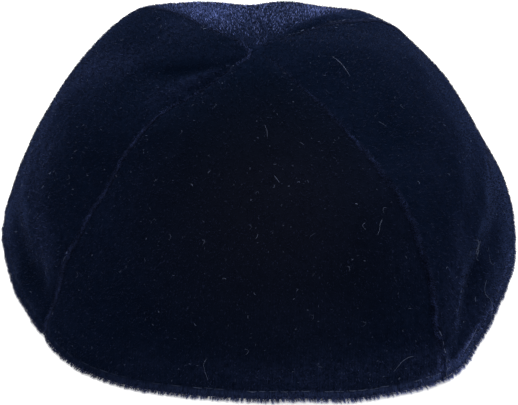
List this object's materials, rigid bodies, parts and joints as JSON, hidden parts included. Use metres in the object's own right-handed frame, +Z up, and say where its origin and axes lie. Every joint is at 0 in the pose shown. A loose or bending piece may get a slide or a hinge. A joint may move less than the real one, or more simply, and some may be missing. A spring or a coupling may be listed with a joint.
{
  "type": "velvet skullcap",
  "caption": "Domed velvet skullcap of seamed gores with a turned and topstitched rim, open underneath for the head.",
  "frame": {"origin": "under the middle of the cap, on the surface that its rim rests on", "axes": "+Z up through the crown, -Y out of the front gore, +X towards the right gore"},
  "size_m": [0.1736, 0.171, 0.0711],
  "materials": {
    "velvet": "matt navy pile with a pale sheen at grazing angles"
  },
  "bodies": {
    "root": {"front_panel": "velvet", "right_panel": "velvet", "back_panel": "velvet", "left_panel": "velvet"}
  },
  "joints": []
}
